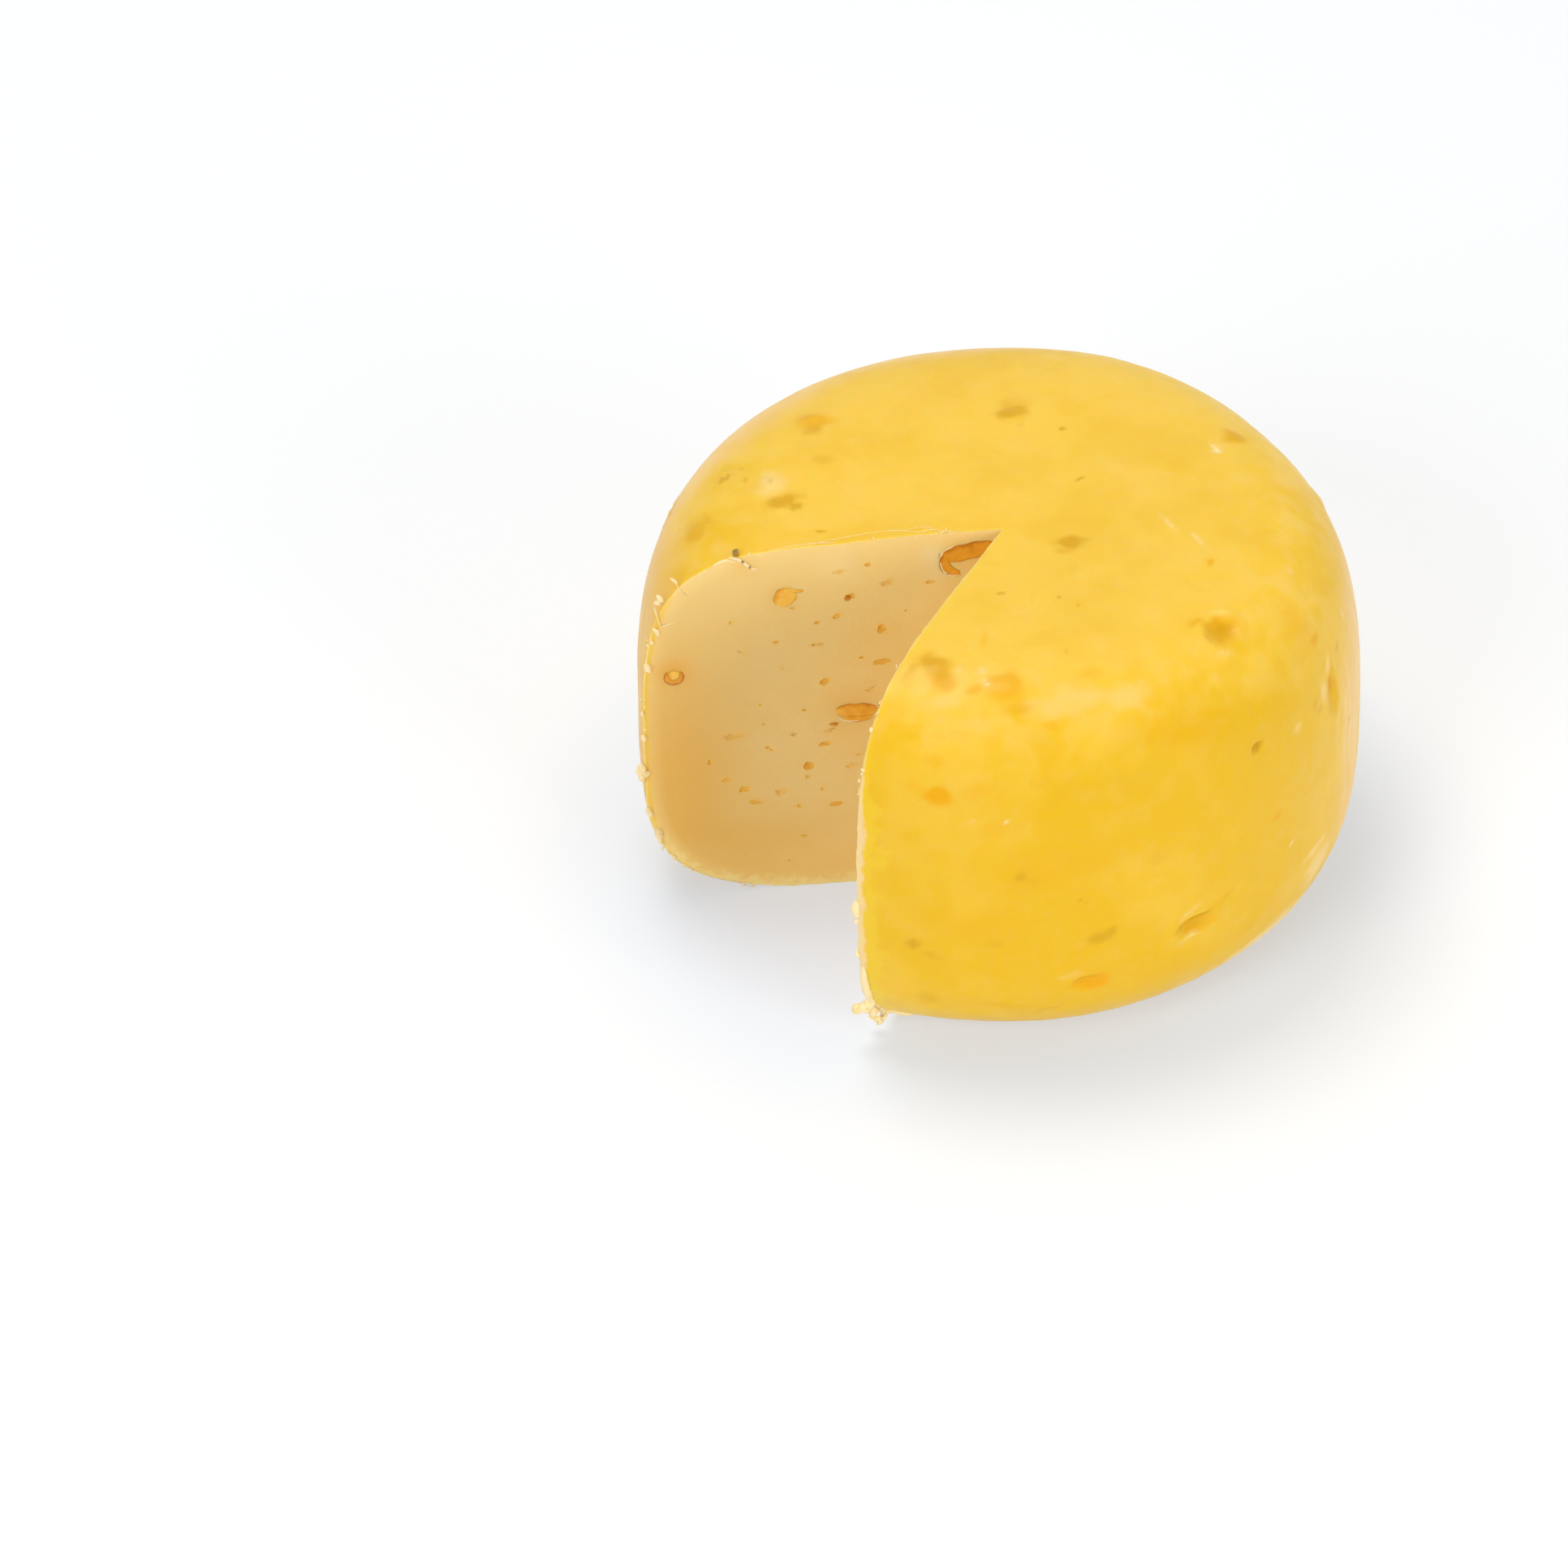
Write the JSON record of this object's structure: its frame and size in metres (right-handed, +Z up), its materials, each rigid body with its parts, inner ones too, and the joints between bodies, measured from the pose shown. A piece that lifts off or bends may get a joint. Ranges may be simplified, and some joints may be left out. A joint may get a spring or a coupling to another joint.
{
  "type": "fenugreek baby gouda",
  "caption": "Small round cheese with a satin yellow coating and fenugreek seeds in pale curd, a wedge cut out of it, resting on its flat base.",
  "frame": {"origin": "on the surface the cheese stands on, under the middle of its outer box", "axes": "+Z up along the axis of the round cheese; the missing wedge opens towards -X and -Y, and the picture looks along +Y from above"},
  "size_m": [0.1058, 0.1042, 0.0644],
  "materials": {
    "rind": "thin satin yellow cheese coating over the rind, mottled, with seeds showing through",
    "paste": "pale, waxy, slightly translucent cut curd with small holes",
    "seed": "swollen orange-brown fenugreek seed, moist"
  },
  "bodies": {
    "root": {"cheese_wheel": "rind"}
  },
  "joints": []
}
